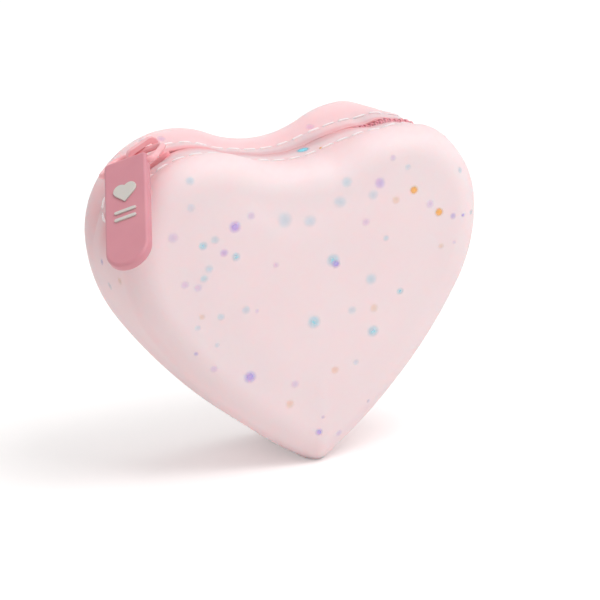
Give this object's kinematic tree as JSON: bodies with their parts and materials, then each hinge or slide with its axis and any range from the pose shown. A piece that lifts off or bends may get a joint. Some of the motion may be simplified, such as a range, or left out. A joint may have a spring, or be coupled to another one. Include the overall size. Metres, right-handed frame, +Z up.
{
  "type": "heart shaped zip purse",
  "caption": "Heart shaped moulded silicone coin purse that stands on its tip, with a coil zip over both lobes, a slider, a wire ring and a soft pull tab.",
  "frame": {"origin": "centre of the small flat under the heart's tip", "axes": "+X across both lobes to the right, +Y from the front face to the back face, +Z up from the tip to the lobes"},
  "size_m": [0.0931, 0.0465, 0.0759],
  "materials": {
    "silicone": "satin",
    "tape": "matte",
    "coil": "satin",
    "filler": "matte",
    "stop": "gloss",
    "pink_metal": "gloss",
    "tab_pvc": "satin",
    "motif_pvc": "satin"
  },
  "bodies": {
    "purse": {"shell": "silicone", "tape_front": "tape", "tape_back": "tape", "coil_front": "coil", "coil_back": "coil", "cord_front": "filler", "cord_back": "filler", "top_stop_front": "stop", "top_stop_back": "stop", "bottom_stop": "stop"},
    "slider": {"slider": "pink_metal"},
    "ring": {"pull_ring": "pink_metal"},
    "tab": {"puller": "tab_pvc", "puller_motif": "motif_pvc"}
  },
  "joints": [
    {"name": "slider_travel", "type": "hinge", "parent": "purse", "child": "slider", "pos_m": [-0.022, 0, 0.0531], "axis": [0, 1, 0], "range_deg": [-10.5, 30], "deforming": ["tape_front", "tape_back", "coil_front", "coil_back", "cord_front", "cord_back"]},
    {"name": "ring_swing", "type": "hinge", "parent": "slider", "child": "ring", "pos_m": [-0.03203, 0.00057, 0.07266], "axis": [0.7497, -0.5735, 0.3303], "range_deg": [-120, 0]},
    {"name": "tab_swing", "type": "hinge", "parent": "ring", "child": "tab", "pos_m": [-0.03821, -0.00789, 0.07199], "axis": [0.7497, -0.5735, 0.3303], "range_deg": [-65, 0]}
  ]
}
